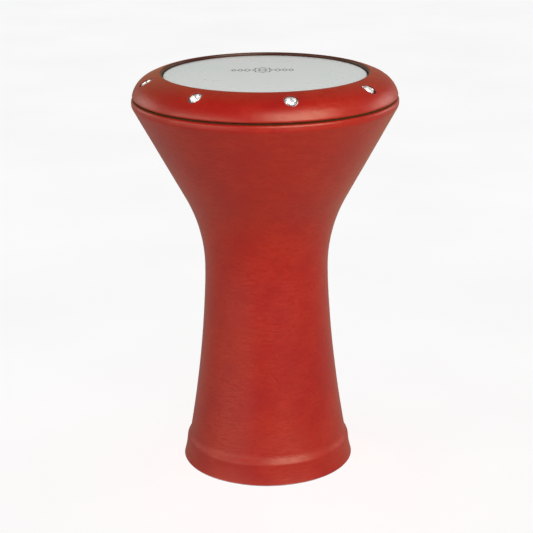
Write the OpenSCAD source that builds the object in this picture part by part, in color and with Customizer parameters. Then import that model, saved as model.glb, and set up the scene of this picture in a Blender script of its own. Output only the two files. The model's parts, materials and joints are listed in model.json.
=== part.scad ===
// Goblet drum (darbuka) with a clamped synthetic head, eight recessed tuning
// bolts and a leather covering. Millimetres, +Z up, the drum's axis on Z and
// the foot's base on z = 0. Parts are lathe sections turned about Z.

/* [Goblet outline] */
// Radius of the covering at the foot's lowest edge
foot_r = 93.5; // [93:0.25:94.5]
// Inward lean of the foot band from vertical, degrees
foot_lean = 10; // [9:0.1:10.6]
// Lean of the bevel above the foot band, degrees
bevel_lean = 28; // [26:1:30]
// Radius of the fillet between the bevel and the stem
foot_fillet_r = 14; // [12:0.5:15]
// Lean of the stem just above that fillet, degrees
stem_lean = 10.05; // [9.9:0.05:10.2]
// Arc radius of the stem's long lower stretch
stem_arc_r = 1320; // [1310:5:1330]
// Lean at which the stem's two arcs meet, degrees
waist_lean = 2.9; // [2.7:0.1:3.2]
// Arc radius of the stem just below the neck
waist_arc_r = 480; // [470:5:490]
// Radius at the neck, the narrowest place
neck_r = 66.35; // [66:0.05:66.7]
// Height of the neck
neck_h = 219.6; // [218:0.2:221]
// Arc radius of the flare from the neck into the bowl
flare_arc_r = 167; // [160:1:172]
// Slope of the bowl's cone from vertical, degrees
bowl_angle = 28.5; // [27.5:0.1:29]
// Radius of the shell's rim
rim_r = 140; // [139.8:0.1:141]
// Height of the top of the rim
rim_h = 404.8; // [402:0.1:405]
// Rounding of the rim's upper edge
rim_round = 3; // [2:0.5:4]

/* [Collar outline] */
// Height of the collar's lip, the top of the whole drum
top_h = 430.9; // [430.5:0.1:431.5]
// Radius of the opening inside the lip
lip_r = 108; // [108:0.1:108.5]
// Rounding of the lip
lip_round = 1.6; // [1.4:0.1:2]
// Downward slope where the lip meets the crown, degrees
crown_start = 12.5; // [11:0.5:14]
// Downward slope where the crown meets the side, degrees
crown_end = 27; // [25:0.5:28]
// Arc radius of the crown
crown_arc_r = 64.5; // [62:0.5:66]
// Arc radius of the collar's bulging side
side_arc_r = 26.2; // [25.8:0.1:26.6]
// Height of the collar's lower edge
collar_low_h = 405.8; // [405.6:0.1:406.2]
// Rounding of the collar's lower outer edge
hem_round = 2; // [1.6:0.1:2.4]

/* [Walls] */
// Thickness of the cast walls
wall = 4; // [3:0.5:5]
// Thickness of the covering
skin = 1; // [0.6:0.1:1.4]
// Layer of glue between the covering and the metal
glue = 0.1; // [0.05:0.05:0.2]
// Thickness of the deck that closes the shell's rim
deck = 4.7; // [4:0.1:6]
// Width and height of the land that the foot stands on
foot_land = [8, 6]; // [4:1:12]
// Width of the covering that is turned over the deck
deck_turn = 7; // [4:1:8]
// Depth of the covering that is turned down inside the lip
lip_turn = 4; // [3:0.5:6]
// Width of the covering that is turned under the collar
hem_turn = 3.6; // [3:0.1:4]

/* [Head] */
// Thickness of the film
film = 0.25; // [0.2:0.05:0.3]
// Height of the film's playing face
film_h = 428; // [427.6:0.1:428.4]
// Outer radius of the shell's bearing tube
tube_r = 106; // [105.6:0.1:106.2]
// Outer radius of the hoop
hoop_r = 112.5; // [112.3:0.1:112.7]
// Radial width of the hoop
hoop_w = 5.2; // [5:0.1:5.3]
// Thickness of the hoop's channel walls
hoop_wall = 1.1; // [0.8:0.1:1.2]
// Height of the hoop's base
hoop_low_h = 409.5; // [408:0.1:411]
// Height of the hoop's inner wall
hoop_inner = 7; // [6.8:0.1:7.1]
// Height of the hoop's outer wall, which the collar presses on
hoop_outer = 9; // [8.5:0.1:9.2]

/* [Bolts] */
// Number of tuning bolts
bolts = 8; // [6:1:8]
// Radius of the bolt circle
bolt_circle_r = 124.5; // [123.5:0.1:125]
// Angle of the first bolt from the -Y axis, degrees
first_bolt = 11.6; // [0:0.1:45]
// Thread diameter
bolt_d = 6; // [5:1:6]
// Length under the head
bolt_len = 25; // [20:1:28]
// Diameter of the socket head
head_d = 10; // [9:0.5:10.5]
// Diameter of the washer
washer_d = 11; // [10:0.5:11]
// Thickness of the washer
washer_t = 1.2; // [0.8:0.1:1.6]
// Height of the counterbore's floor
seat_h = 415.4; // [415:0.1:416]
// Radius of the counterbore
counterbore_r = 5.9; // [5.7:0.1:6.2]
// Radius of the hole in the covering around each bolt
skin_hole_r = 7.2; // [6.6:0.1:7.6]

/* [Hidden] */
arc_step = 3;        // widest turn of one facet of an arc, degrees
arc_chord = 12;      // longest facet of an arc
turn_fn = 180;       // segments of a lathe section
hole_fn = 48;        // segments of bolts, holes and bosses
over = 1;            // how far a cut runs past the face it opens
contact_gap = 0.05;  // between stacked faces that press on each other
slip_gap = 0.35;     // between the film and the metal that it bends over
press_gap = 0.3;     // between the collar's flange and the hoop
skin_foot = 1;       // height at which the covering ends above the base

metal_inset = skin + glue;           // from the covered outline to the casting
inner_inset = metal_inset + wall;    // from the covered outline to the inside
deck_h = rim_h - metal_inset;        // top of the deck

bore_clear = 0.4;    // around a bolt in the collar
washer_clear = 0.3;  // around a bolt in its washer
thread_clear = 0.05; // around a bolt in its tapped hole
boss_r = 8.5;        // collar bosses
deck_boss_r = 7.5;   // bosses under the deck
deck_boss_len = 8;
head_h = bolt_d;     // a socket cap head is as high as its thread is wide
socket_af = 5;       // hexagon key size
socket_depth = 3;
edge_chamfer = 0.6;
bolt_seat_h = seat_h + washer_t + 2 * contact_gap;

film_edge_r = tube_r + slip_gap + film;   // outside of the film's skirt
film_bend_r = 2.2;                        // the film's bend over the tube
tuck_bend_r = 1;                          // the film's bends at the hoop
tuck_over = 0.7;                          // film's upper face above the hoop's inner wall
tail_inset = 2.7;                         // from the hoop's outside to the film's tail
tail_rise = 2.7;                          // from the hoop's base to the tail's end
resin_short = 0.5;                        // from the resin's face to the inner wall's top
skirt_gap = 2;                            // between the hoop and the collar's inner skirt
skirt_w = 3.5;                            // thickness of that skirt
tuck_h = hoop_low_h + hoop_inner + tuck_over;
tuck_r = hoop_r - tail_inset;
tail_low_h = hoop_low_h + tail_rise;
flange_low_h = hoop_low_h + hoop_outer + press_gap;
inner_skirt_r = [hoop_r + skirt_gap, hoop_r + skirt_gap + skirt_w];
wide = 200;                               // wider than any section

function polar(r, a) = [r * cos(a), r * sin(a)];

// Points of an arc about c from angle a to angle b, without the first one.
function arc(c, r, a, b) =
    let (n = max(ceil(abs(b - a) / arc_step), ceil(abs(b - a) * PI / 180 * r / arc_chord)))
    [for (k = [1:n]) c + polar(r, a + (b - a) * k / n)];

// Arc centres of the goblet's hollow outline, each outside the metal.
c_flare = [neck_r + flare_arc_r, neck_h];
c_waist = [neck_r + waist_arc_r, neck_h];
c_stem = c_waist + polar(stem_arc_r - waist_arc_r, waist_lean);
c_fillet = c_stem - polar(stem_arc_r - foot_fillet_r, stem_lean);

// A point of such an arc at lean a, once the outline is moved inwards by inset.
function on_arc(c, r, a, inset) = c - polar(r + inset, a);

// Where the bevel meets the foot band.
function bevel_foot(inset) =
    let (p = on_arc(c_fillet, foot_fillet_r, bevel_lean, inset),
         run = foot_r - inset / cos(foot_lean) - p[1] * tan(foot_lean) - p[0],
         s = run / (sin(bevel_lean) - cos(bevel_lean) * tan(foot_lean)))
    p + s * [sin(bevel_lean), -cos(bevel_lean)];

// Where the bowl's cone meets the upright rim.
function rim_foot(inset) =
    let (p = on_arc(c_flare, flare_arc_r, -bowl_angle, inset),
         s = (rim_r - inset - p[0]) / sin(bowl_angle))
    p + s * [sin(bowl_angle), cos(bowl_angle)];

// The goblet's filled section from its base to its rim, moved inwards by inset.
module goblet_section(inset) {
    rounding = max(rim_round - inset, 0);
    corner = [rim_r - inset - rounding, rim_h - inset - rounding];
    polygon(concat(
        [[0, 0], [foot_r - inset / cos(foot_lean), 0], bevel_foot(inset)],
        [on_arc(c_fillet, foot_fillet_r, bevel_lean, inset)],
        arc(c_fillet, foot_fillet_r + inset, 180 + bevel_lean, 180 + stem_lean),
        arc(c_stem, stem_arc_r + inset, 180 + stem_lean, 180 + waist_lean),
        arc(c_waist, waist_arc_r + inset, 180 + waist_lean, 180),
        arc(c_flare, flare_arc_r + inset, 180, 180 - bowl_angle),
        [rim_foot(inset), corner + [rounding, 0]],
        rounding > 0 ? arc(corner, rounding, 0, 90) : [],
        [[0, rim_h - inset]]));
}

// Arc centres of the collar's outline: lip, crown, bulging side and hem.
lip_c = [lip_r + lip_round, top_h - lip_round];
crown_c = lip_c - polar(crown_arc_r - lip_round, 90 - crown_start);
side_c = crown_c + polar(crown_arc_r - side_arc_r, 90 - crown_end);
hem_h = collar_low_h + hem_round;
hem_lean = asin((hem_h - side_c[1]) / (side_arc_r - hem_round));
hem_c = [side_c[0] + (side_arc_r - hem_round) * cos(hem_lean), hem_h];

// The collar's crown and side down to angle low, moved inwards by inset.
function crown_side(inset, low) = concat(
    arc(crown_c, crown_arc_r - inset, 90 - crown_start, 90 - crown_end),
    arc(side_c, side_arc_r - inset, 90 - crown_end, low));

// The collar's filled section, its outline moved inwards by inset.
module collar_section(inset) {
    polygon(concat(
        [[lip_r + inset, collar_low_h + inset], [lip_r + inset, lip_c[1]]],
        arc(lip_c, lip_round - inset, 180, 90 - crown_start),
        crown_side(inset, hem_lean),
        arc(hem_c, hem_round - inset, hem_lean, -90)));
}

// The hollow under the collar's crown, outside the inner skirt.
module collar_hollow() {
    intersection() {
        polygon(concat([[0, 0], [0, lip_c[1]]], crown_side(inner_inset, 0), [[side_c[0], 0]]));
        translate([inner_skirt_r[1], collar_low_h]) square([wide, top_h - collar_low_h]);
    }
}

// Copies its children to every bolt position.
module at_bolts() {
    for (i = [1:bolts]) at_bolt(i) children();
}

// Copies its children to bolt i's position, counted anticlockwise from the front.
module at_bolt(i) {
    turn = first_bolt - 90 + (i - 1) * 360 / bolts;
    rotate([0, 0, turn]) translate([bolt_circle_r, 0, 0]) children();
}

// A round hole for a bolt, from z = 0 upwards.
module bolt_hole(clear, length) {
    cylinder(r = bolt_d / 2 + clear, h = length, $fn = hole_fn);
}

// Cast goblet: foot land, stem, bowl, deck, bearing tube and tapped bosses.
module shell() {
    tube = [tube_r - wall, deck_h - deck];
    tube_top = film_h - film - slip_gap - wall / 2;
    color("silver") difference() {
        union() {
            rotate_extrude($fn = turn_fn) {
                difference() {
                    goblet_section(metal_inset);
                    difference() {
                        goblet_section(inner_inset);
                        translate([foot_r - metal_inset - foot_land[0], 0])
                            square([wide, foot_land[1]]);
                        translate([tube[0], tube[1]]) square([wide, deck]);
                    }
                    translate([0, tube[1]]) square([tube[0], deck + over]);
                }
                translate(tube) square([wall, tube_top - tube[1]]);
                translate([tube_r - wall / 2, tube_top]) circle(r = wall / 2, $fn = hole_fn);
            }
            at_bolts() translate([0, 0, tube[1] - deck_boss_len])
                cylinder(r = deck_boss_r, h = deck_boss_len + deck / 2, $fn = hole_fn);
        }
        at_bolts() translate([0, 0, tube[1] - deck_boss_len - over])
            bolt_hole(thread_clear, deck_boss_len + deck + 2 * over);
    }
}

// Leather over the goblet, from just above the base to the top of the deck.
module shell_cover() {
    color([0.62, 0.13, 0.11]) rotate_extrude($fn = turn_fn) difference() {
        goblet_section(0);
        goblet_section(skin);
        translate([0, deck_h - over]) square([rim_r - deck_turn, skin + 2 * over + glue]);
        translate([0, -over]) square([wide, skin_foot + over]);
    }
}

// Cast collar: press flange, inner skirt, outer skirt and bolt bosses.
module collar() {
    color("silver") difference() {
        rotate_extrude($fn = turn_fn) difference() {
            collar_section(metal_inset);
            translate([lip_r, collar_low_h])
                square([inner_skirt_r[0] - lip_r, flange_low_h - collar_low_h]);
        }
        difference() {
            rotate_extrude($fn = turn_fn) collar_hollow();
            at_bolts() translate([0, 0, collar_low_h - over])
                cylinder(r = boss_r, h = top_h - collar_low_h, $fn = hole_fn);
        }
        at_bolts() {
            translate([0, 0, seat_h])
                cylinder(r = counterbore_r, h = top_h - seat_h, $fn = hole_fn);
            translate([0, 0, collar_low_h]) bolt_hole(bore_clear, top_h - collar_low_h);
        }
    }
}

// Leather over the collar, turned in at the lip and under the hem.
module collar_cover() {
    color([0.62, 0.13, 0.11]) difference() {
        rotate_extrude($fn = turn_fn) difference() {
            collar_section(0);
            collar_section(skin);
            translate([lip_r - over, collar_low_h - over])
                square([wall, top_h - lip_turn - collar_low_h + over]);
            translate([lip_r, collar_low_h - over])
                square([rim_r - hem_turn - lip_r, skin + 2 * over]);
        }
        at_bolts() translate([0, 0, seat_h])
            cylinder(r = skin_hole_r, h = top_h - seat_h, $fn = hole_fn);
    }
}

// A quarter of a thin ring: centre c, outer radius r, thickness t, first angle a.
module bend(c, r, t, a) {
    translate(c) rotate(a) difference() {
        intersection() {
            circle(r = r, $fn = hole_fn);
            square(r);
        }
        circle(r = r - t, $fn = hole_fn);
    }
}

// Clear film: a flat disc, bent down over the tube and tucked into the hoop.
module head_film() {
    skirt_top = film_h - film_bend_r;
    out_c = [film_edge_r + tuck_bend_r, tuck_h + tuck_bend_r];
    in_c = [tuck_r - tuck_bend_r, tuck_h - tuck_bend_r];
    color([0.82, 0.84, 0.82]) rotate_extrude($fn = turn_fn) {
        translate([0, film_h - film]) square([film_edge_r - film_bend_r, film]);
        bend([film_edge_r - film_bend_r, skirt_top], film_bend_r, film, 0);
        translate([film_edge_r - film, out_c[1]]) square([film, skirt_top - out_c[1]]);
        bend(out_c, tuck_bend_r + film, film, 180);
        translate([out_c[0], tuck_h - film]) square([in_c[0] - out_c[0], film]);
        bend(in_c, tuck_bend_r, film, 0);
        translate([tuck_r - film, tail_low_h]) square([film, in_c[1] - tail_low_h]);
    }
}

// Hoop: an upright channel whose taller outer wall takes the collar's pressure.
module head_hoop() {
    color("gainsboro") rotate_extrude($fn = turn_fn) translate([hoop_r - hoop_w, hoop_low_h]) {
        square([hoop_w, hoop_wall]);
        square([hoop_wall, hoop_inner]);
        translate([hoop_w - hoop_wall, 0]) square([hoop_wall, hoop_outer]);
    }
}

// Resin that bonds the film's tail into the hoop's channel.
module head_resin() {
    channel = hoop_w - 2 * hoop_wall;
    fill = hoop_inner - resin_short;
    color("burlywood") rotate_extrude($fn = turn_fn) difference() {
        translate([hoop_r - hoop_w + hoop_wall + contact_gap, hoop_low_h + hoop_wall + contact_gap])
            square([channel - 2 * contact_gap, fill - hoop_wall - contact_gap]);
        translate([tuck_r - film - contact_gap, tail_low_h - contact_gap])
            square([film + 2 * contact_gap, hoop_inner]);
    }
}

// One socket cap bolt, standing on its washer.
module tuning_bolt(i) {
    tip = bolt_seat_h - bolt_len;
    color("gainsboro") at_bolt(i) difference() {
        union() {
            translate([0, 0, bolt_seat_h])
                cylinder(d = head_d, h = head_h - edge_chamfer, $fn = hole_fn);
            translate([0, 0, bolt_seat_h + head_h - edge_chamfer])
                cylinder(d1 = head_d, d2 = head_d - 2 * edge_chamfer, h = edge_chamfer, $fn = hole_fn);
            translate([0, 0, tip + edge_chamfer])
                cylinder(d = bolt_d, h = bolt_len - edge_chamfer, $fn = hole_fn);
            translate([0, 0, tip])
                cylinder(d1 = bolt_d - 2 * edge_chamfer, d2 = bolt_d, h = edge_chamfer, $fn = hole_fn);
        }
        translate([0, 0, bolt_seat_h + head_h - socket_depth])
            cylinder(d = socket_af / cos(30), h = socket_depth + over, $fn = 6);
    }
}

// One flat washer on the counterbore's floor.
module washer(i) {
    color("gainsboro") at_bolt(i) translate([0, 0, seat_h + contact_gap]) difference() {
        cylinder(d = washer_d, h = washer_t, $fn = hole_fn);
        translate([0, 0, -over]) bolt_hole(washer_clear, washer_t + 2 * over);
    }
}

shell();
shell_cover();
collar();
collar_cover();
head_film();
head_hoop();
head_resin();
for (i = [1:bolts]) tuning_bolt(i);
for (i = [1:bolts]) washer(i);
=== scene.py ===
"""Looks of a leather-covered goblet drum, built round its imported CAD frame. Metres, +Z up."""
import json
import math

import bpy
import numpy as np
from mathutils import Matrix, Vector


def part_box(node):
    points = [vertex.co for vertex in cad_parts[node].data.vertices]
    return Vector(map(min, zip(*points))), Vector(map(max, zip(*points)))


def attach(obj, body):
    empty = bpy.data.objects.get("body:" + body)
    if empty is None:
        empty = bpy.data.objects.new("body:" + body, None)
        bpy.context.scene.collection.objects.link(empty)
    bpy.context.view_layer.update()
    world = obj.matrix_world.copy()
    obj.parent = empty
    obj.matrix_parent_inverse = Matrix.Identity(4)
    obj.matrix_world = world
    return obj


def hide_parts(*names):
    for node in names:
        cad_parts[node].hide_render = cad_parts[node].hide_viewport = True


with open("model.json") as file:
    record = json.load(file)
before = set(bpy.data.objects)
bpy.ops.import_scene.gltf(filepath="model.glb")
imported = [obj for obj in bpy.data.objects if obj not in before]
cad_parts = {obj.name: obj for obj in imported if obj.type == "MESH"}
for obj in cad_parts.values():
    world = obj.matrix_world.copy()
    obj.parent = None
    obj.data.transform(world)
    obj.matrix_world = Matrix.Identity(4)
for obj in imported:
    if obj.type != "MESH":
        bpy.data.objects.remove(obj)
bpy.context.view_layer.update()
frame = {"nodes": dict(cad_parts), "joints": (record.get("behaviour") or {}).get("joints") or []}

MM = 0.001

# ---------------------------------------------------------------- dimensions
# Read from the frame where a box gives them; the rest is the goblet's design.
COVER_LOW, COVER_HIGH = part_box("shell_cover")
COLLAR_LOW, COLLAR_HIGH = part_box("collar_cover")
FILM_LOW, FILM_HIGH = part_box("head_film")
HOOP_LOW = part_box("head_hoop")[0]
RIM_H = COVER_HIGH.z
TOP_H = COLLAR_HIGH.z
COLLAR_LOW_H = COLLAR_LOW.z
FILM_H = FILM_HIGH.z
RIM_R = 140 * MM
SKIN = 1 * MM
SKIN_FOOT = COVER_LOW.z
DECK_TURN = 7 * MM

# Leans and slopes are in degrees from vertical, radii of arcs in metres, from the foot up.
FOOT_R, FOOT_LEAN, BEVEL_LEAN = 93.5 * MM, 10, 28
FILLET_R, STEM_LEAN, STEM_R = 14 * MM, 10.05, 1320 * MM
WAIST_LEAN, WAIST_R = 2.9, 480 * MM
NECK_R, NECK_H = 66.35 * MM, 219.6 * MM
FLARE_R, BOWL_ANGLE = 167 * MM, 28.5
RIM_ROUND = 3 * MM
BAND_BEND = 1.2 * MM                        # the leather bends round the foot band's edge
RIM_BEND_LOW, RIM_BEND_HIGH = 3 * MM, 1.2 * MM     # and from the bowl into the rim

# The collar: slopes in degrees below level.
LIP_R, LIP_ROUND, LIP_TURN = 108 * MM, 1.6 * MM, 4 * MM
CROWN_START, CROWN_END, CROWN_R = 12.5, 27, 64.5 * MM
SIDE_R, HEM_ROUND, HEM_TURN = 26.2 * MM, 2 * MM, 3.6 * MM

BOLT_JOINTS = [j for j in frame["joints"] if j["name"].startswith("bolt_turn_")]
BOLT_R, HEAD_R, HEAD_H = 3 * MM, 5 * MM, 6 * MM
BOLT_LEN, THREAD_PITCH, SOCKET_AF, SOCKET_DEPTH = 25 * MM, 1 * MM, 5 * MM, 3 * MM
HEAD_CHAMFER = 0.6 * MM
WASHER_BORE_R, WASHER_R, WASHER_THICK = 3.3 * MM, 5.5 * MM, 1.2 * MM
SKIN_HOLE_R = 7.2 * MM
SEAM_ANGLE = 90.0       # the covering's joint runs up the back, on the +Y side
SIDES = 720             # steps round the shell's leather
STEP = 1.3 * MM         # spacing of the shell's leather's rows
COLLAR_SIDES = 1296
COLLAR_ROWS = (4, 8, 26, 34, 6, 5)     # rows on turn-in, lip, crown, side, hem and underside


# ---------------------------------------------------------------- outlines
def polar(r, a):
    return np.array([r * math.cos(math.radians(a)), r * math.sin(math.radians(a))])


def arc(c, r, a, b, step=STEP):
    """Points of an arc about c from angle a to angle b, without the first one."""
    n = max(2, math.ceil(abs(math.radians(b - a)) * r / step), math.ceil(abs(b - a) / 12))
    return [c + polar(r, a + (b - a) * k / n) for k in range(1, n + 1)]


def line(p, q, step=STEP):
    """Points from p to q, without the first one."""
    p, q = np.asarray(p, float), np.asarray(q, float)
    n = max(1, math.ceil(np.linalg.norm(q - p) / step))
    return [p + (q - p) * k / n for k in range(1, n + 1)]


C_FLARE = np.array([NECK_R + FLARE_R, NECK_H])
C_WAIST = np.array([NECK_R + WAIST_R, NECK_H])
C_STEM = C_WAIST + polar(STEM_R - WAIST_R, WAIST_LEAN)
C_FILLET = C_STEM - polar(STEM_R - FILLET_R, STEM_LEAN)


def goblet_outline(inset, step=STEP):
    """The covered goblet from the foot's edge up to the deck's turned-in leather."""
    lean = math.tan(math.radians(FOOT_LEAN))
    sin_b, cos_b = math.sin(math.radians(BEVEL_LEAN)), math.cos(math.radians(BEVEL_LEAN))
    band_r = FOOT_R - inset / math.cos(math.radians(FOOT_LEAN))
    bevel_top = C_FILLET - polar(FILLET_R + inset, BEVEL_LEAN)
    run = (band_r - bevel_top[1] * lean - bevel_top[0]) / (sin_b - cos_b * lean)
    bevel_low = bevel_top + run * np.array([sin_b, -cos_b])
    cone_low = C_FLARE - polar(FLARE_R + inset, -BOWL_ANGLE)
    slope = np.array([math.sin(math.radians(BOWL_ANGLE)), math.cos(math.radians(BOWL_ANGLE))])
    rim_low = cone_low + (RIM_R - inset - cone_low[0]) / slope[0] * slope
    rounding = RIM_ROUND - inset
    corner = np.array([RIM_R - inset - rounding, RIM_H - inset - rounding])
    start = np.array([band_r - SKIN_FOOT * lean, SKIN_FOOT])
    edge_in = (bevel_low - start) / np.linalg.norm(bevel_low - start)
    before, after = bevel_low - edge_in * BAND_BEND, bevel_low + np.array([-sin_b, cos_b]) * BAND_BEND
    pts = [start] + line(start, before, step)
    pts += [(before + 2 * bevel_low + after) / 4, after] + line(after, bevel_top, step)
    pts += arc(C_FILLET, FILLET_R + inset, 180 + BEVEL_LEAN, 180 + STEM_LEAN, step)
    pts += arc(C_STEM, STEM_R + inset, 180 + STEM_LEAN, 180 + WAIST_LEAN, step)
    pts += arc(C_WAIST, WAIST_R + inset, 180 + WAIST_LEAN, 180, step)
    pts += arc(C_FLARE, FLARE_R + inset, 180, 180 - BOWL_ANGLE, step)
    low_soft, high_soft = rim_low - slope * RIM_BEND_LOW, rim_low + np.array([0, RIM_BEND_HIGH])
    pts += line(cone_low, low_soft, step)
    for t in (0.25, 0.5, 0.75, 1.0):
        pts.append((1 - t) ** 2 * low_soft + 2 * t * (1 - t) * rim_low + t * t * high_soft)
    pts += line(high_soft, corner + [rounding, 0], step)
    pts += arc(corner, rounding, 0, 90, step / 2)
    pts += line(pts[-1], [RIM_R - DECK_TURN, RIM_H - inset], step)
    return pts


LIP_C = np.array([LIP_R + LIP_ROUND, TOP_H - LIP_ROUND])
CROWN_C = LIP_C - polar(CROWN_R - LIP_ROUND, 90 - CROWN_START)
SIDE_C = CROWN_C + polar(CROWN_R - SIDE_R, 90 - CROWN_END)
HEM_H = COLLAR_LOW_H + HEM_ROUND
HEM_LEAN = math.degrees(math.asin((HEM_H - SIDE_C[1]) / (SIDE_R - HEM_ROUND)))
HEM_C = SIDE_C + polar(SIDE_R - HEM_ROUND, HEM_LEAN)


def collar_outline(inset, rows):
    """The collar from inside its lip over the crown to under its hem, with fixed row counts."""
    n_turn, n_lip, n_crown, n_side, n_hem, n_under = rows

    def fixed_arc(c, r, a, b, n):
        return [c + polar(r, a + (b - a) * k / n) for k in range(1, n + 1)]

    start = np.array([LIP_R + inset, TOP_H - LIP_TURN])
    lip = np.array([LIP_R + inset, LIP_C[1]])
    pts = [start + (lip - start) * k / n_turn for k in range(n_turn + 1)]
    pts += fixed_arc(LIP_C, LIP_ROUND - inset, 180, 90 - CROWN_START, n_lip)
    pts += fixed_arc(CROWN_C, CROWN_R - inset, 90 - CROWN_START, 90 - CROWN_END, n_crown)
    pts += fixed_arc(SIDE_C, SIDE_R - inset, 90 - CROWN_END, HEM_LEAN, n_side)
    pts += fixed_arc(HEM_C, HEM_ROUND - inset, HEM_LEAN, -90, n_hem)
    end = np.array([RIM_R - HEM_TURN, COLLAR_LOW_H + inset])
    last = pts[-1]
    return pts + [last + (end - last) * k / n_under for k in range(1, n_under + 1)]


# ---------------------------------------------------------------- mesh tools
def lattice_noise(p, size, seed):
    """Smooth noise from -1 to 1 at points p, one lump about every size metres."""
    q = np.asarray(p, float) / size
    cell = np.floor(q).astype(np.int64)
    f = q - cell
    f = f * f * (3 - 2 * f)
    total = np.zeros(len(q))
    for corner in range(8):
        step = np.array([corner & 1, corner >> 1 & 1, corner >> 2 & 1])
        c = cell + step
        h = (c[:, 0] * 73856093 ^ c[:, 1] * 19349663 ^ c[:, 2] * 83492791 ^ seed * 2654435761)
        h = (h ^ h >> 13) * 1274126177 & 0x7FFFFFFF
        w = np.prod(np.where(step == 1, f, 1 - f), axis=1)
        total += w * ((h ^ h >> 16) % 65536 / 32767.5 - 1)
    return total


def mesh_object(name, co, faces, smooth=True):
    me = bpy.data.meshes.new(name)
    me.from_pydata([tuple(c) for c in co], [], [tuple(f) for f in faces])
    me.validate()
    if smooth:
        me.shade_smooth()
    ob = bpy.data.objects.new(name, me)
    bpy.context.scene.collection.objects.link(ob)
    return ob


def spin_points(outline, sides):
    """Every outline point at every step round Z, as rows of x, y, z, outline point by outline point."""
    outline = np.asarray(outline, float)
    a = np.arange(sides) * 2 * math.pi / sides
    co = np.empty((len(outline), sides, 3))
    co[:, :, 0] = outline[:, :1] * np.cos(a)
    co[:, :, 1] = outline[:, :1] * np.sin(a)
    co[:, :, 2] = outline[:, 1:2]
    return co.reshape(-1, 3)


def spin_faces(rows, sides, closed, flip=False):
    """Quads between neighbouring rows of spun points, and from the last to the first if closed."""
    i = np.arange(rows if closed else rows - 1)[:, None]
    j = np.arange(sides)[None, :]
    k, m = (i + 1) % rows, (j + 1) % sides
    quads = np.stack([i * sides + j, i * sides + m, k * sides + m, k * sides + j], -1).reshape(-1, 4)
    return quads[:, ::-1] if flip else quads


def lathe(name, loop, sides=256):
    """A ring-shaped solid: a closed outline, run anticlockwise in (r, z), turned about Z."""
    return mesh_object(name, spin_points(loop, sides), spin_faces(len(loop), sides, True))


def set_sharp(ob, degrees=35):
    """Edges sharper than this stay crisp under smooth shading."""
    ob.data.set_sharp_from_angle(angle=math.radians(degrees))
    return ob


def store(ob, name, values):
    """A number for each point, which a material reads by its name."""
    attribute = ob.data.attributes.new(name, "FLOAT", "POINT")
    attribute.data.foreach_set("value", np.asarray(values, np.float32))


# ---------------------------------------------------------------- leather
# Creases as (angle round Z, height, length, direction from level, depth): degrees and mm.
# The front of the drum is at -90 degrees.
CREASES = [(-92, 118, 24, 62, 0.16), (-84, 116, 22, 118, 0.16), (-89, 100, 9, 10, 0.10),
           (-74, 301, 12, 78, 0.12), (-71, 297, 10, 70, 0.10), (-98, 237, 20, 84, 0.14),
           (-72, 282, 17, 35, 0.13), (-66, 276, 14, 28, 0.11), (-110, 264, 16, 150, 0.10)]
CREASE_SEED, CREASE_COUNT = 7, 90
CREASE_WIDTH = 0.9 * MM
CREASE_FULL = 0.15 * MM         # a pit this deep gets the full painted shade of a crease
SEAM_DEPTH, SEAM_WIDTH = 0.38 * MM, 0.75 * MM
SEAM_LIFT, SEAM_LIFT_AT, SEAM_LIFT_WIDTH = 0.16 * MM, 2.2 * MM, 1.2 * MM
BAND_TOP, BAND_SAG = 22.9 * MM, 0.55 * MM
# Lumps of the glued leather: height in mm, and size.
LUMPS = ((0.055, 34 * MM), (0.030, 13 * MM), (0.014, 4.5 * MM))


def bell(x, width):
    """1 at x = 0, falling off to nothing past about twice the width."""
    return np.exp(-((x / width) ** 2))


def seeded_creases():
    """Faint creases all round: mostly near level, denser at the neck, where the sheet had to stretch."""
    rng = np.random.default_rng(CREASE_SEED)
    found = []
    for _ in range(CREASE_COUNT):
        height = float(np.clip(rng.normal(215, 85), 30, 385))
        direction = rng.normal(0, 16) if rng.random() < 0.7 else rng.uniform(40, 140)
        angle, length, depth = rng.uniform(-180, 180), rng.uniform(6, 22), rng.uniform(0.03, 0.09)
        found.append((angle, height, length, direction, depth))
    return found


def crease_depth(co, creases):
    """How deep the creases press into the leather at each point, in metres."""
    angle = np.arctan2(co[:, 1], co[:, 0])
    radius = np.hypot(co[:, 0], co[:, 1])
    depth = np.zeros(len(co))
    for place, height, length, direction, deepest in creases:
        around = (angle - math.radians(place) + math.pi) % (2 * math.pi) - math.pi
        x, z = around * radius, co[:, 2] - height * MM
        near = np.flatnonzero((np.abs(x) < length * MM) & (np.abs(z) < length * MM))
        x, z = x[near], z[near]
        c, s = math.cos(math.radians(direction)), math.sin(math.radians(direction))
        along, across = x * c + z * s, -x * s + z * c
        half = length * MM / 2
        # a gentle S along the crease, and raised leather on both its sides
        across = across + 0.06 * length * MM * np.sin(along / half * 2.2 + place)
        taper = np.clip(1 - (along / half) ** 2, 0, 1)
        raised = 0.45 * bell(np.abs(across) - 2 * CREASE_WIDTH, CREASE_WIDTH)
        depth[near] += deepest * MM * taper * (bell(across, CREASE_WIDTH) - raised)
    return depth


def seam_depth(co):
    """The butt joint up the back: a narrow groove between two slightly raised edges."""
    angle = np.arctan2(co[:, 1], co[:, 0]) - math.radians(SEAM_ANGLE)
    x = angle * np.hypot(co[:, 0], co[:, 1]) + 0.25 * MM * lattice_noise(co, 18 * MM, 5)
    lift = SEAM_LIFT * bell(np.abs(x) - SEAM_LIFT_AT, SEAM_LIFT_WIDTH)
    return np.where(co[:, 1] > 0, SEAM_DEPTH * bell(x, SEAM_WIDTH) - lift, 0)


def band_sag(co):
    """The foot band is a little hollow between its two edges."""
    t = np.clip(co[:, 2] / BAND_TOP, 0, 1)
    return BAND_SAG * 4 * t * (1 - t)


def read_vectors(me, what):
    """The points' coordinates ("co") or normals ("normal"), one row each."""
    values = np.empty(len(me.vertices) * 3)
    me.vertices.foreach_get(what, values)
    return values.reshape(-1, 3)


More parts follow.
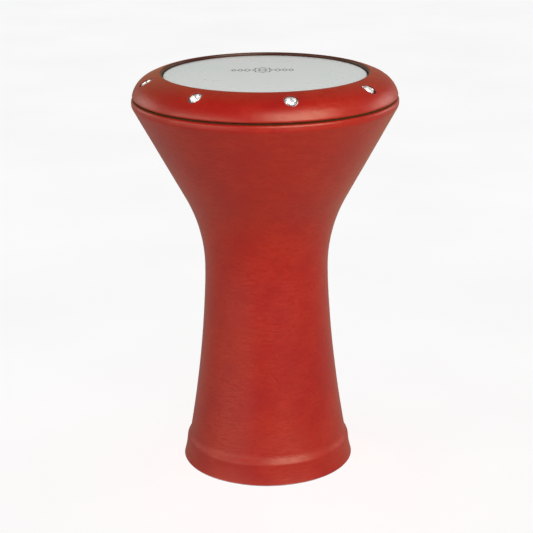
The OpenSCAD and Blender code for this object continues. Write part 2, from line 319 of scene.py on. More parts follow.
def dress_leather(ob, outer, pit, sag=0.0, swell=1.0):
    """Presses pits, a sag and soft lumps into the outer points, and stores where the pits are."""
    me = ob.data
    co, normal = read_vectors(me, "co"), read_vectors(me, "normal")
    lumps = sum(height * lattice_noise(co, size, seed) for seed, (height, size) in enumerate(LUMPS, 1))
    # it only presses inwards, so the leather keeps the size that the CAD gives it
    move = -(pit + sag + 0.10 * MM) + swell * lumps * MM
    move = np.where(outer, np.minimum(move, 0), 0)
    me.vertices.foreach_set("co", (co + normal * move[:, None]).ravel())
    me.update()
    # pit depth is stored to paint shade into the creases
    store(ob, "crease", np.clip(pit / CREASE_FULL, 0, 1) * outer)


def make_shell_leather():
    """The goblet's sheet: up its outer side and back down its inner side."""
    outer, inner = goblet_outline(0), goblet_outline(SKIN, 6 * MM)
    loop = outer + inner[::-1]
    ob = lathe("shell_leather", loop, SIDES)
    is_outer = np.repeat(np.arange(len(loop)) < len(outer), SIDES)
    height = np.repeat(np.array([p[1] for p in loop]), SIDES)
    # painted shade: the inner side, and the rim's top in the gap under the collar, are marked to be
    # painted near-black
    rim_top = np.clip((height - RIM_H + 0.8 * MM) / (0.7 * MM), 0, 1)
    store(ob, "edge", np.maximum(~is_outer, rim_top))
    co = read_vectors(ob.data, "co")
    pit = crease_depth(co, CREASES + seeded_creases()) + seam_depth(co)
    dress_leather(ob, is_outer, pit, band_sag(co))
    return set_sharp(ob)


def bolt_places():
    return [Vector(j["pos_m"]) for j in BOLT_JOINTS]


def hole_free_quads(surface, rows):
    """The outer side's quads, without those whose middle is over a bolt hole."""
    n, sides = surface.shape[:2]
    centre = (surface[:-1] + surface[1:]) / 2
    centre = (centre + np.roll(centre, -1, axis=1)) / 2
    on_top = np.zeros((n - 1, sides), bool)
    on_top[sum(rows[:2]):sum(rows[:4])] = True
    keep = np.ones((n - 1, sides), bool)
    for place in bolt_places():
        d = np.hypot(centre[..., 0] - place.x, centre[..., 1] - place.y)
        keep &= ~((d < SKIN_HOLE_R) & on_top)
    index = np.arange(n * sides).reshape(n, sides)
    beside = np.roll(index, -1, axis=1)
    return np.stack([index[:-1], index[1:], beside[1:], beside[:-1]], -1)[keep]


def open_edges(quads):
    """The directed edges that only one quad has."""
    edges = {}
    for q in quads:
        for p, r in zip(q, np.roll(q, -1)):
            p, r = int(p), int(r)
            if (r, p) in edges:
                del edges[(r, p)]
            else:
                edges[(p, r)] = True
    return list(edges)


def make_collar_leather():
    """The collar's sheet with its bolt holes: quads inside a hole go, and the rest close round it."""
    outer, inner = collar_outline(0, COLLAR_ROWS), collar_outline(SKIN, COLLAR_ROWS)
    shift = len(outer) * COLLAR_SIDES
    co = np.concatenate([spin_points(outer, COLLAR_SIDES), spin_points(inner, COLLAR_SIDES)])
    quads = hole_free_quads(co[:shift].reshape(len(outer), COLLAR_SIDES, 3), COLLAR_ROWS)
    edges = open_edges(quads)
    faces = list(map(tuple, quads)) + list(map(tuple, quads[:, ::-1] + shift))
    faces += [(r, p, p + shift, r + shift) for p, r in edges]
    rim = np.unique([p for e in edges for p in e])
    for place in bolt_places():
        d = np.hypot(co[rim, 0] - place.x, co[rim, 1] - place.y)
        near = rim[d < SKIN_HOLE_R * 1.5]
        snap_to_hole(co, near, place, 0)
        snap_to_hole(co, near + shift, place, SKIN)
    used = np.unique([i for f in faces for i in f])
    renumber = np.full(2 * shift, -1)
    renumber[used] = np.arange(len(used))
    ob = mesh_object("collar_leather", co[used], [tuple(renumber[list(f)]) for f in faces])
    r, z = np.hypot(co[used, 0], co[used, 1]), co[used, 2]
    # painted shade: inside the lip, under the hem and the inner side are marked to be painted near-black
    inside_lip = np.clip((LIP_C[0] + 0.5 * MM - r) / (1.3 * MM), 0, 1) * (z > LIP_C[1] - LIP_TURN)
    under_hem = np.clip((COLLAR_LOW_H + 0.9 * MM - z) / (0.8 * MM), 0, 1)
    store(ob, "edge", np.maximum(np.maximum(inside_lip, under_hem), used >= shift))
    dress_leather(ob, used < shift, np.zeros(len(used)), swell=0.8)
    return set_sharp(ob)


def crown_height(r, inset):
    """Height of the collar's crown or side at radius r."""
    r = np.asarray(r, float)
    split = CROWN_C[0] + (CROWN_R - inset) * math.sin(math.radians(CROWN_END))
    crown = CROWN_C[1] + np.sqrt(np.maximum((CROWN_R - inset) ** 2 - (r - CROWN_C[0]) ** 2, 0))
    side = SIDE_C[1] + np.sqrt(np.maximum((SIDE_R - inset) ** 2 - (r - SIDE_C[0]) ** 2, 0))
    return np.where(r < split, crown, side)


def snap_to_hole(co, ids, place, inset):
    """Moves these points onto the hole's circle, on the collar's surface."""
    x, y = co[ids, 0] - place.x, co[ids, 1] - place.y
    d = np.maximum(np.hypot(x, y), 1e-9)
    co[ids, 0] = place.x + x / d * SKIN_HOLE_R
    co[ids, 1] = place.y + y / d * SKIN_HOLE_R
    co[ids, 2] = crown_height(np.hypot(co[ids, 0], co[ids, 1]), inset)


# ---------------------------------------------------------------- bolts and washers
KNURL_RIDGES, KNURL_DEPTH = 36, 0.16 * MM
THREAD_DEPTH, THREAD_TOP, ROWS_PER_TURN = 0.55 * MM, -1.2 * MM, 8
POINT_LEN, POINT_IN = 1.2 * MM, 0.5 * MM


def make_bolt_mesh():
    """A socket cap bolt standing on z = 0 with its head above and its thread below."""
    sides = KNURL_RIDGES * 6
    a = np.arange(sides) * 2 * math.pi / sides
    ridge = 0.5 - 0.5 * np.cos(a * KNURL_RIDGES)
    hexagon = SOCKET_AF / 2 / np.cos((a + math.pi / 6) % (math.pi / 3) - math.pi / 6)
    rings = []

    def ring(radius, z):
        rings.append(np.stack([radius * np.cos(a), radius * np.sin(a), z * np.ones(sides)], -1))

    # the socket, from its drilled point up to its chamfered mouth
    for part, extra, down in ((0.02, 0, SOCKET_DEPTH + 0.7 * MM), (0.96, 0, SOCKET_DEPTH),
                              (1, 0, SOCKET_DEPTH - 0.05 * MM), (1, 0, 0.32 * MM),
                              (1, 0.12 * MM, 0.10 * MM), (1, 0.22 * MM, 0.03 * MM), (1, 0.34 * MM, 0)):
        ring(hexagon * part + extra, HEAD_H - down)
    # the head's top, chamfer, knurl and underside
    top_r, root_r = HEAD_R - HEAD_CHAMFER, HEAD_R - KNURL_DEPTH
    ring(top_r - 0.12 * MM, HEAD_H)
    ring(top_r, HEAD_H - 0.04 * MM)
    for t in (0.5, 1.0):
        ring(top_r + t * (HEAD_CHAMFER - 0.1 * MM) - KNURL_DEPTH * ridge * t * 0.4,
             HEAD_H - 0.04 * MM - t * (HEAD_CHAMFER - 0.04 * MM))
    for z in np.linspace(HEAD_H - HEAD_CHAMFER - 0.15 * MM, 0.75 * MM, 6):
        ring(HEAD_R - KNURL_DEPTH * ridge, z)
    ring(root_r, 0.6 * MM)
    ring(root_r - 0.02 * MM, 0.15 * MM)
    ring(root_r - 0.2 * MM, 0.0)
    ring(BOLT_R + 0.3 * MM, 0.0)
    ring(BOLT_R, -0.25 * MM)
    # the thread: rows whose radius follows the helix, and the bolt's point
    z = -0.25 * MM
    while z > -BOLT_LEN + POINT_LEN:
        z -= THREAD_PITCH / ROWS_PER_TURN
        phase = (z / THREAD_PITCH - a / (2 * math.pi)) % 1.0
        cut = np.clip(1.25 - 2.875 * np.abs(phase - 0.5), 0, 1)
        run_in = np.clip((THREAD_TOP - z) / (2 * THREAD_PITCH), 0, 1)
        ring(BOLT_R - THREAD_DEPTH * cut * run_in, z)
    ring(BOLT_R - 0.62 * MM, -BOLT_LEN + POINT_IN)
    ring(BOLT_R - 1.0 * MM, -BOLT_LEN + 0.02 * MM)
    ring(0.05 * MM, -BOLT_LEN)
    faces = [tuple(f) for f in spin_faces(len(rings), sides, False, flip=True)]
    last = (len(rings) - 1) * sides
    faces += [tuple(range(sides)), tuple(range(last + sides - 1, last - 1, -1))]
    pattern = set_sharp(mesh_object("bolt_pattern", np.concatenate(rings), faces), 30)
    mesh = pattern.data
    bpy.data.objects.remove(pattern)
    return mesh


def washer_loop():
    """A stamped washer's outline: rounded upper edges and sharp lower edges."""
    soft, top = 0.3 * MM, WASHER_THICK
    pts = [np.array([WASHER_BORE_R, 0]), np.array([WASHER_R, 0]), np.array([WASHER_R, top - soft])]
    pts += arc(np.array([WASHER_R - soft, top - soft]), soft, 0, 90, 0.1 * MM)
    pts += [np.array([WASHER_BORE_R + soft, top])]
    return pts + arc(np.array([WASHER_BORE_R + soft, top - soft]), soft, 90, 180, 0.1 * MM)


def make_fasteners(bolt_steel, washer_steel):
    """Every bolt and washer, each bolt turned to an angle of its own as real ones stand."""
    bolt_mesh = make_bolt_mesh()
    bolt_mesh.materials.append(bolt_steel)
    for number, joint in enumerate(BOLT_JOINTS, 1):
        place = Vector(joint["pos_m"])
        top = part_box(f"tuning_bolt_{number}")[1].z
        bolt = bpy.data.objects.new(f"socket_bolt_{number}", bolt_mesh)
        bpy.context.scene.collection.objects.link(bolt)
        bolt.location = (place.x, place.y, top - HEAD_H)
        bolt.rotation_euler = (0, 0, 0.7 * number * number)
        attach(bolt, f"bolt_{number}")
        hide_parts(f"tuning_bolt_{number}")
        washer = set_sharp(lathe(f"flat_washer_{number}", washer_loop(), 96))
        washer.location = (place.x, place.y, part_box(f"washer_{number}")[0].z)
        washer.data.materials.append(washer_steel)
        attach(washer, f"washer_{number}")
        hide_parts(f"washer_{number}")


# ---------------------------------------------------------------- head
FILM, FILM_EDGE_R, FILM_BEND_R, TUCK_BEND_R = 0.25 * MM, 106.6 * MM, 2.2 * MM, 1 * MM
HOOP_R, HOOP_W, HOOP_WALL = 112.5 * MM, 5.2 * MM, 1.1 * MM
HOOP_INNER, HOOP_OUTER = 7 * MM, 9 * MM
TUCK_R, TUCK_RISE = HOOP_R - 2.7 * MM, 0.7 * MM     # where the film goes down into the resin
RESIN_GAP = 0.05 * MM


def film_line(offset):
    """The film's path from the axis over the bearing edge into the hoop; offset 0 is its upper face."""
    tuck_h = HOOP_LOW.z + HOOP_INNER + TUCK_RISE
    bend_c = np.array([FILM_EDGE_R - FILM_BEND_R, FILM_H - FILM_BEND_R])
    out_c = np.array([FILM_EDGE_R + TUCK_BEND_R, tuck_h + TUCK_BEND_R])
    in_c = np.array([TUCK_R - TUCK_BEND_R, tuck_h - TUCK_BEND_R])
    pts = line([0, FILM_H - offset], [bend_c[0], FILM_H - offset], 4 * MM)
    pts += arc(bend_c, FILM_BEND_R - offset, 90, 0, 0.3 * MM)
    pts += line(pts[-1], [FILM_EDGE_R - offset, out_c[1]], 2 * MM)
    pts += arc(out_c, TUCK_BEND_R + offset, 180, 270, 0.3 * MM)
    pts += line(pts[-1], [in_c[0], tuck_h - offset], 1 * MM)
    pts += arc(in_c, TUCK_BEND_R - offset, 90, 0, 0.3 * MM)
    return pts + [np.array([TUCK_R - offset, FILM_LOW.z])]


def make_film():
    """One thin closed sheet with a point at the axis on each side."""
    sides = 360
    upper, lower = film_line(0.0), film_line(FILM)
    loop = upper + lower[::-1]
    co = spin_points(loop, sides)
    faces = [tuple(f) for f in spin_faces(len(loop), sides, False, flip=True)]
    top, bottom = len(co), len(co) + 1
    co = np.vstack([co, [0, 0, FILM_H], [0, 0, FILM_H - FILM]])
    last = (len(loop) - 1) * sides
    for j in range(sides):
        k = (j + 1) % sides
        faces.append((top, j, k))
        faces.append((bottom, last + k, last + j))
    return set_sharp(mesh_object("drum_head", co, faces), 40)


def make_hoop():
    """The channel, with its rolled edges rounded."""
    low, left, right, soft = HOOP_LOW.z, HOOP_R - HOOP_W, HOOP_R, 0.35 * MM
    inner_top, outer_top, floor = low + HOOP_INNER, low + HOOP_OUTER, low + HOOP_WALL

    def corner(r, z, start):
        return arc(np.array([r, z]), soft, start, start + 90, 0.12 * MM)

    pts = [np.array([left + soft, low]), np.array([right - soft, low])]
    pts += corner(right - soft, low + soft, -90) + corner(right - soft, outer_top - soft, 0)
    pts += corner(right - HOOP_WALL + soft, outer_top - soft, 90)
    pts += [np.array([right - HOOP_WALL, floor]), np.array([left + HOOP_WALL, floor])]
    pts += corner(left + HOOP_WALL - soft, inner_top - soft, 0)
    pts += corner(left + soft, inner_top - soft, 90) + corner(left + soft, low + soft, 180)
    return set_sharp(lathe("channel_hoop", pts, 360))


def make_resin():
    """Resin that creeps up the channel's walls and the film, so its face is hollow on each side."""
    gap = RESIN_GAP
    low = HOOP_LOW.z + HOOP_WALL + gap
    left, right = HOOP_R - HOOP_W + HOOP_WALL + gap, HOOP_R - HOOP_WALL - gap
    tail_out, tail_in = TUCK_R + gap, TUCK_R - FILM - gap
    top, slot_low = HOOP_LOW.z + HOOP_INNER - 0.5 * MM, FILM_LOW.z - gap

    def meniscus(a, b):
        t = np.linspace(0, 1, 7)
        return [np.array([a + (b - a) * s, top - 0.35 * MM * math.sin(math.pi * s)]) for s in t]

    pts = [np.array([left, low]), np.array([right, low])] + meniscus(right, tail_out)
    pts += [np.array([tail_out, slot_low]), np.array([tail_in, slot_low])] + meniscus(tail_in, left)
    return set_sharp(lathe("bonding_resin", pts, 240))


# ---------------------------------------------------------------- ornament
MOTIF_AT, MOTIF_THICK, MOTIF_LINE = (-2.5 * MM, 20 * MM), 0.05 * MM, 1.6 * MM
MOTIF_TALL, LOZENGE_TALL = 1.35, 3.3
LOZENGES = ((16.0, 3.1), (23.4, 2.7), (30.2, 2.4))      # distance from the middle, size, in mm


def polygon_line(points, width):
    """The corners of a closed outline moved out and then in by half the line's width."""
    p = np.asarray(points, float)
    centre = p.mean(0)
    outward = (p - centre) / np.linalg.norm(p - centre, axis=1)[:, None]
    return np.concatenate([p + outward * width / 2, p - outward * width / 2])


def make_motif():
    """A plain geometric ornament printed on the head: an eight-point star between tall lozenges."""
    co, faces = [], []

    def band(points):
        """One closed line of ink: a thin solid between an outer and an inner outline."""
        n, start = len(points), len(co)
        ring = polygon_line(points, MOTIF_LINE)
        for z in (FILM_H, FILM_H + MOTIF_THICK):
            co.extend([(x + MOTIF_AT[0], y + MOTIF_AT[1], z) for x, y in ring])
        o, i, top = start, start + n, 2 * n
        for k in range(n):
            m = (k + 1) % n
            faces.append((o + k + top, o + m + top, i + m + top, i + k + top))
            faces.append((o + k, i + k, i + m, o + m))
            faces.append((o + k, o + m, o + m + top, o + k + top))
            faces.append((i + k, i + k + top, i + m + top, i + m))

    def star(outer, inner, count, tall, x=0.0):
        """Points that lie by turns on an outer and an inner radius, stretched along Y."""
        points = [polar(outer if k % 2 == 0 else inner, 180 * k / count) for k in range(2 * count)]
        return [(x * MM + p[0] * MM, p[1] * MM * tall) for p in points]

    band(star(11.0, 8.0, 8, MOTIF_TALL))
    band(star(4.0, 4.0, 16, MOTIF_TALL))
    for side in (-1, 1):
        for x, size in LOZENGES:
            band(star(size, size * 0.75, 2, LOZENGE_TALL, side * x))
    return mesh_object("head_ornament", co, faces, smooth=False)


# ---------------------------------------------------------------- materials
TURNED_FROM, TURNED_R = 409 * MM, 8 * MM     # the casting is machined above and within these


class Nodes:
    """A short way to build a node material: add nodes, link them, set sockets."""

    def __init__(self, name):
        self.mat = bpy.data.materials.new(name)
        self.mat.use_nodes = True
        self.tree = self.mat.node_tree
        self.shader = self.tree.nodes["Principled BSDF"]
        self.place = self.add("ShaderNodeTexCoord").outputs["Object"]

    def add(self, kind, settings=None, **inputs):
        node = self.tree.nodes.new(kind)
        for key, value in (settings or {}).items():
            setattr(node, key, value)
        for key, value in inputs.items():
            self.put(node, key.replace("_", " "), value)
        return node

    def put(self, node, socket, value):
        target = node.inputs[socket]
        if isinstance(value, bpy.types.NodeSocket):
            self.tree.links.new(value, target)
        else:
            target.default_value = value

    def noise(self, scale, detail=3.0, rough=0.5):
        return self.add("ShaderNodeTexNoise", Vector=self.place, Scale=scale, Detail=detail,
                        Roughness=rough).outputs["Fac"]

    def span(self, value, a, b, low=0.0, high=1.0):
        """Low where the value is a or less, high where it is b or more."""
        node = self.add("ShaderNodeMapRange")
        sockets = ("Value", "From Min", "From Max", "To Min", "To Max")
        for socket, v in zip(sockets, (value, a, b, low, high)):
            self.put(node, socket, v)
        return node.outputs["Result"]

    def height(self):
        return self.add("ShaderNodeSeparateXYZ", Vector=self.place).outputs["Z"]

    def math(self, kind, a, b=0.0):
        node = self.add("ShaderNodeMath", {"operation": kind})
        self.put(node, 0, a)
        self.put(node, 1, b)
        return node.outputs[0]

    def mix(self, factor, a, b):
        node = self.add("ShaderNodeMix", {"data_type": "RGBA"})
        self.put(node, 0, factor)
        self.put(node, 6, a)
        self.put(node, 7, b)
        return node.outputs[2]

    def grey(self, value):
        return self.add("ShaderNodeCombineColor", Red=value, Green=value, Blue=value).outputs[0]

    def bump(self, height, distance, strength=1.0, onto=None):
        node = self.add("ShaderNodeBump", Strength=strength, Distance=distance, Height=height)
        if onto is not None:
            self.put(node, "Normal", onto)
        return node.outputs["Normal"]

    def attribute(self, name):
        return self.add("ShaderNodeAttribute", {"attribute_name": name}).outputs["Fac"]

    def finish(self, **inputs):
        for key, value in inputs.items():
            self.put(self.shader, key.replace("_", " "), value)
        return self.mat


CRIMSON, ORANGE_RED = (0.370, 0.0040, 0.0070, 1), (0.425, 0.0100, 0.0042, 1)
DEEP_RED, WORN_RED = (0.310, 0.0050, 0.0038, 1), (0.520, 0.034, 0.018, 1)
# the near-black red that comes first on the next line is painted shade for hidden sides and gaps
PAINTED_SHADE, GRAIN_RED = (0.020, 0.003, 0.003, 1), (0.16, 0.005, 0.004, 1)


def leather_wrinkles(n):
    """Thin wavy ridges that run round the drum, in patches: 1 on a ridge and 0 off it."""
    flat = n.add("ShaderNodeMapping", Vector=n.place)
    flat.inputs["Scale"].default_value = (1, 1, 3.2)
    wave = n.add("ShaderNodeTexNoise", Vector=flat.outputs[0], Scale=64.0, Detail=2.0, Distortion=0.7)
    off = n.math("ABSOLUTE", n.math("SUBTRACT", wave.outputs[0], 0.5))
    patches = n.span(n.noise(26.0, 2.0), 0.35, 0.60, 0.25, 1.0)
    return n.math("MULTIPLY", n.span(off, 0.0, 0.13, 1.0, 0.0), patches)


def leather_material():
    """Dyed leather: cloudy red, a fine grain, wrinkles, painted shade on its hidden sides and in its
    gaps, and a scuffed foot.
    """
    n = Nodes("red_leather")
    cells = n.add("ShaderNodeTexVoronoi", {"feature": "DISTANCE_TO_EDGE"}, Scale=980.0, Vector=n.place)
    grain = n.span(cells.outputs["Distance"], 0.0, 0.28)
    ridge = leather_wrinkles(n)
    base = n.mix(n.span(n.noise(13.0, 4.0, 0.55), 0.38, 0.62), CRIMSON, ORANGE_RED)
    base = n.mix(n.span(n.noise(70.0, 3.0, 0.6), 0.25, 0.75, 0.0, 0.40), base, DEEP_RED)
    base = n.mix(n.math("MULTIPLY", ridge, 0.26), base, WORN_RED)
    base = n.mix(n.span(grain, 0.0, 0.55, 0.25, 0.0), base, GRAIN_RED)
    # painted shade: darker in the creases' pits
    base = n.mix(n.math("MULTIPLY", n.attribute("crease"), 0.22), base, DEEP_RED)
    # painted shade: near-black on the hidden sides, in the gaps and inside the lip
    base = n.mix(n.math("MULTIPLY", n.attribute("edge"), 0.94), base, PAINTED_SHADE)
    scuffed = n.span(n.height(), 0.03, 0.07, 0.09, 0.0)
    rough = n.math("ADD", n.span(n.noise(260.0, 2.0), 0.3, 0.7, 0.28, 0.37), scuffed)
    rough = n.math("ADD", rough, n.span(grain, 0.0, 0.5, 0.10, 0.0))
    normal = n.bump(grain, 0.04 * MM, 0.32)
    normal = n.bump(n.noise(2600.0, 2.0), 0.02 * MM, 0.35, normal)
    normal = n.bump(ridge, 0.14 * MM, 0.48, normal)
    normal = n.bump(n.noise(150.0, 3.0), 0.12 * MM, 0.35, normal)
    return n.finish(Base_Color=base, Roughness=rough, Normal=normal, IOR=1.57,
                    Specular_Tint=(1.0, 0.84, 0.60, 1), Sheen_Weight=0.20, Sheen_Roughness=0.45,
                    Sheen_Tint=(1.0, 0.46, 0.12, 1))


def plan_length(n, x, y):
    """The length of the vector (x, y)."""
    return n.math("SQRT", n.math("ADD", n.math("MULTIPLY", x, x), n.math("MULTIPLY", y, y)))


def bolt_distance(n):
    """Distance in plan from the nearest bolt's axis, for any number of evenly spaced bolts."""
    first = BOLT_JOINTS[0]["pos_m"]
    split = n.add("ShaderNodeSeparateXYZ", Vector=n.place)
    x, y = split.outputs["X"], split.outputs["Y"]
    step = 2 * math.pi / len(BOLT_JOINTS)
    turn = n.math("SUBTRACT", n.math("ARCTAN2", y, x), math.atan2(first[1], first[0]) - step / 2)
    turn = n.math("SUBTRACT", n.math("FLOORED_MODULO", turn, step), step / 2)
    r = plan_length(n, x, y)
    circle_r = math.hypot(first[0], first[1])
    outward = n.math("SUBTRACT", n.math("MULTIPLY", r, n.math("COSINE", turn)), circle_r)
    return plan_length(n, outward, n.math("MULTIPLY", r, n.math("SINE", turn)))


def cast_material():
    """Sand-cast aluminium, turned bright round the bolts."""
    n = Nodes("cast_aluminium")
    lumps, grit = n.noise(420.0, 4.0, 0.6), n.noise(1900.0, 3.0, 0.65)
    base = n.mix(n.span(n.noise(30.0, 3.0), 0.3, 0.7), (0.56, 0.57, 0.58, 1), (0.70, 0.71, 0.72, 1))
    base = n.mix(n.span(grit, 0.35, 0.6, 0.35, 0.0), base, (0.34, 0.34, 0.35, 1))
    away = bolt_distance(n)
    above = n.span(n.height(), TURNED_FROM, TURNED_FROM + 0.5 * MM)
    turned = n.math("MULTIPLY", n.span(away, TURNED_R, TURNED_R + 0.3 * MM, 1.0, 0.0), above)
    base = n.mix(turned, base, (0.93, 0.90, 0.87, 1))
    cast = n.bump(grit, 0.10 * MM, 0.4, n.bump(lumps, 0.25 * MM, 0.5))
    tool_marks = n.bump(n.math("SINE", n.math("MULTIPLY", away, 22000.0)), 0.008 * MM, 0.6)
    pick = n.add("ShaderNodeMix", {"data_type": "VECTOR"})
    for socket, value in ((0, turned), (4, cast), (5, tool_marks)):
        n.put(pick, socket, value)
    rough = n.mix(turned, n.grey(n.span(lumps, 0.3, 0.7, 0.34, 0.52)), (0.24, 0.24, 0.24, 1))
    return n.finish(Base_Color=base, Metallic=1.0, Roughness=rough, Normal=pick.outputs[1])


def film_material():
    """Milky polyester with a little dust, its middle dulled by playing."""
    n = Nodes("head_film")
    base = n.mix(n.span(n.noise(9.0, 1.0), 0.3, 0.7), (0.545, 0.592, 0.562, 1), (0.592, 0.592, 0.570, 1))
    base = n.mix(n.span(n.noise(700.0, 3.0, 0.7), 0.62, 0.72, 0.0, 0.08), base, (0.42, 0.44, 0.42, 1))
    split = n.add("ShaderNodeSeparateXYZ", Vector=n.place)
    radius = plan_length(n, split.outputs["X"], split.outputs["Y"])
    worn = n.span(radius, 0.03, 0.09, 0.08, 0.0)
    rough = n.math("ADD", n.span(n.noise(24.0, 2.0), 0.3, 0.7, 0.23, 0.28), worn)
    normal = n.bump(n.noise(900.0, 3.0), 0.01 * MM, 0.4)
    return n.finish(Base_Color=base, Roughness=rough, Normal=normal, IOR=1.55)


def bright_metal(name, base, low, high, scale):
    """Plated or rolled metal: even colour, with fine streaks in its gloss and surface."""
    n = Nodes(name)
    streak = n.noise(scale, 4.0, 0.6)
    spots = n.noise(scale * 0.12, 3.0)
    tint = tuple(c * 0.82 for c in base)
    colour = n.mix(n.span(spots, 0.35, 0.7), (*base, 1), (*tint, 1))
    return n.finish(Base_Color=colour, Metallic=1.0, Roughness=n.span(streak, 0.3, 0.7, low, high),
                    Normal=n.bump(streak, 0.02 * MM, 0.35))


def resin_material():
    """Amber epoxy."""
    n = Nodes("resin")
    base = n.mix(n.span(n.noise(140.0, 4.0), 0.3, 0.7), (0.42, 0.28, 0.11, 1), (0.55, 0.40, 0.19, 1))
    return n.finish(Base_Color=base, Roughness=n.span(n.noise(300.0), 0.3, 0.7, 0.18, 0.30), IOR=1.55,
                    Normal=n.bump(n.noise(500.0), 0.05 * MM, 0.4))


def ink_material():
    """Black ink, thin in places."""
    n = Nodes("ornament_ink")
    thin = n.span(n.noise(900.0, 3.0), 0.4, 0.7, 0.0, 0.6)
    base = n.mix(thin, (0.022, 0.022, 0.026, 1), (0.10, 0.11, 0.11, 1))
    return n.finish(Base_Color=base, Roughness=n.span(n.noise(400.0), 0.3, 0.7, 0.45, 0.6))


def floor_material():
    n = Nodes("studio_floor")
    base = n.mix(n.span(n.noise(3.0, 2.0), 0.3, 0.7), (0.90, 0.90, 0.90, 1), (0.93, 0.93, 0.93, 1))
    return n.finish(Base_Color=base, Roughness=0.85)


# ---------------------------------------------------------------- stage
LENS, SENSOR = 105.93, 36.0
CAMERA_BACK, CAMERA_UP = 1.61485, 0.74040
CAMERA_PITCH, CAMERA_ROLL = 17.959, -0.474
WORLD_LIGHT = ((-1, 0.40), (-0.5, 0.34), (0, 0.27), (0.35, 0.15), (1, 0.08))   # height, level
FLOOR_LIGHT = 2.95
AIM_H = 0.3          # the softboxes are aimed at the drum's axis at this height
# each softbox: azimuth from the front, elevation, distance, width, height, power
KEY = (31, 28, 2.4, 2.2, 1.8, 66)
FILL = (-54, 8, 2.6, 3.2, 1.4, 30)
REAR_LEFT = (-118, 9, 2.6, 1.6, 1.0, 7)
REAR_RIGHT = (118, 9, 2.6, 1.6, 1.0, 10)
OVERHEAD = (0, 80, 2.2, 2.0, 2.0, 14)
BEHIND = (180, 29, 2.5, 3.0, 1.4, 12)


def make_camera():
    data = bpy.data.cameras.new("camera")
    data.lens, data.sensor_width = LENS, SENSOR
    cam = bpy.data.objects.new("camera", data)
    bpy.context.scene.collection.objects.link(cam)
    tilt = Matrix.Rotation(math.radians(90 - CAMERA_PITCH), 4, "X")
    roll = Matrix.Rotation(math.radians(CAMERA_ROLL), 4, "Z")
    cam.matrix_world = Matrix.Translation((0, -CAMERA_BACK, CAMERA_UP)) @ (tilt @ roll)
    bpy.context.scene.camera = cam


def aim_light(name, kind, place, power, aim=(0, 0, AIM_H)):
    data = bpy.data.lights.new(name, kind)
    data.energy = power
    ob = bpy.data.objects.new(name, data)
    bpy.context.scene.collection.objects.link(ob)
    ob.location = place
    ob.rotation_euler = (Vector(aim) - Vector(place)).to_track_quat("-Z", "Y").to_euler()
    return ob


def softbox(name, setting):
    """A rectangular light aimed at the drum, which the camera doesn't see."""
    azimuth, elevation, distance, width, height, power = setting
    turn, rise = math.radians(azimuth), math.radians(elevation)
    level = distance * math.cos(rise)
    place = (level * math.sin(turn), -level * math.cos(turn), AIM_H + distance * math.sin(rise))
    ob = aim_light(name, "AREA", place, power)
    ob.data.shape, ob.data.size, ob.data.size_y = "RECTANGLE", width, height
    ob.visible_camera = False
    return ob


def link_to(light, obs, state, kind="receiver_collection"):
    """Makes a light leave these objects out (EXCLUDE) or reach no others (INCLUDE)."""
    group = bpy.data.collections.new(light.name + "_" + kind)
    for number, ob in enumerate(obs):
        group.objects.link(ob)
        group.collection_objects[number].light_linking.link_state = state
    setattr(light.light_linking, kind, group)


def make_world():
    """Soft light from all round, brighter from below, as a white table throws it back."""
    world = bpy.data.worlds.new("studio")
    world.use_nodes = True
    tree = world.node_tree
    place = tree.nodes.new("ShaderNodeTexCoord")
    split = tree.nodes.new("ShaderNodeSeparateXYZ")
    lift = tree.nodes.new("ShaderNodeMapRange")
    lift.inputs["From Min"].default_value = -1
    ramp = tree.nodes.new("ShaderNodeValToRGB")
    tree.links.new(place.outputs["Generated"], split.inputs[0])
    tree.links.new(split.outputs["Z"], lift.inputs[0])
    tree.links.new(lift.outputs[0], ramp.inputs[0])
    tree.links.new(ramp.outputs[0], tree.nodes["Background"].inputs["Color"])
    stops = ramp.color_ramp.elements
    while len(stops) < len(WORLD_LIGHT):
        stops.new(0.5)
    for stop, (height, level) in zip(stops, WORLD_LIGHT):
        stop.position, stop.color = (height + 1) / 2, (level, level, level, 1)
    bpy.context.scene.world = world


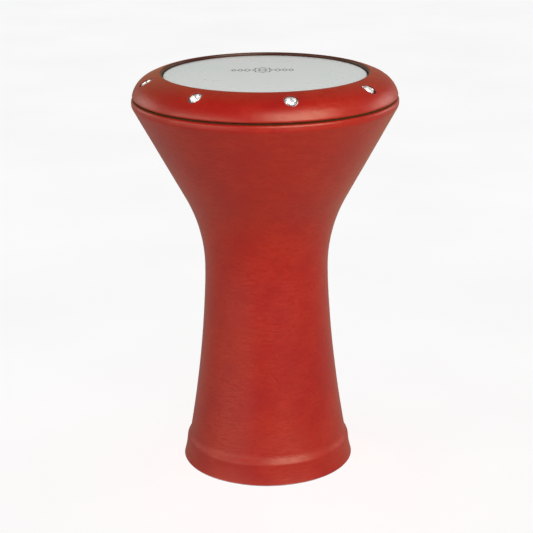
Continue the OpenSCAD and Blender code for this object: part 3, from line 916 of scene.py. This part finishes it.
def make_stage():
    """A pale floor with a light of its own, and softboxes that reach the drum but not the floor."""
    floor = mesh_object("floor", [(-9, -9, 0), (9, -9, 0), (9, 12, 0), (-9, 12, 0)], [(0, 1, 2, 3)])
    floor.data.materials.append(floor_material())
    floor.visible_glossy = floor.visible_diffuse = False
    make_world()
    sweep = aim_light("sweep", "SUN", (0, 0, 3), FLOOR_LIGHT, (0, 0, 0))
    link_to(sweep, [floor], "INCLUDE")
    link_to(sweep, [floor], "INCLUDE", "blocker_collection")
    softboxes = (("key", KEY), ("fill", FILL), ("rear_left", REAR_LEFT), ("rear_right", REAR_RIGHT))
    for name, setting in softboxes:
        link_to(softbox(name, setting), [floor], "EXCLUDE")
    bpy.context.scene.view_settings.view_transform = "Standard"


# ---------------------------------------------------------------- assembly
def light_metal_and_film():
    """Two more softboxes, which reach only the head, the fasteners and the bare castings."""
    bright = [ob for ob in bpy.context.scene.objects
              if ob.type == "MESH" and not ob.name.startswith("floor") and "leather" not in ob.name]
    for name, setting in (("overhead", OVERHEAD), ("behind", BEHIND)):
        link_to(softbox(name, setting), bright, "INCLUDE")


def dress(piece, body, node, material):
    """Gives a piece its material and its body, and lets it stand for a CAD node."""
    piece.data.materials.append(material)
    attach(piece, body)
    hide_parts(node)


def recoat(node, material):
    """A CAD node that is shown as it is, with a better material."""
    data = frame["nodes"][node].data
    data.materials.clear()
    data.materials.append(material)


def main():
    make_camera()
    make_stage()
    leather, cast = leather_material(), cast_material()
    dress(make_shell_leather(), "shell", "shell_cover", leather)
    dress(make_collar_leather(), "collar", "collar_cover", leather)
    dress(make_film(), "head", "head_film", film_material())
    hoop_metal = bright_metal("hoop_aluminium", (0.80, 0.81, 0.82), 0.22, 0.36, 800.0)
    dress(make_hoop(), "head", "head_hoop", hoop_metal)
    dress(make_resin(), "head", "head_resin", resin_material())
    motif = make_motif()
    motif.data.materials.append(ink_material())
    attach(motif, "head")
    make_fasteners(bright_metal("bolt_steel", (0.82, 0.83, 0.84), 0.12, 0.26, 1500.0),
                   bright_metal("washer_steel", (0.66, 0.67, 0.68), 0.24, 0.40, 1200.0))
    recoat("shell", cast)
    recoat("collar", cast)
    light_metal_and_film()


main()
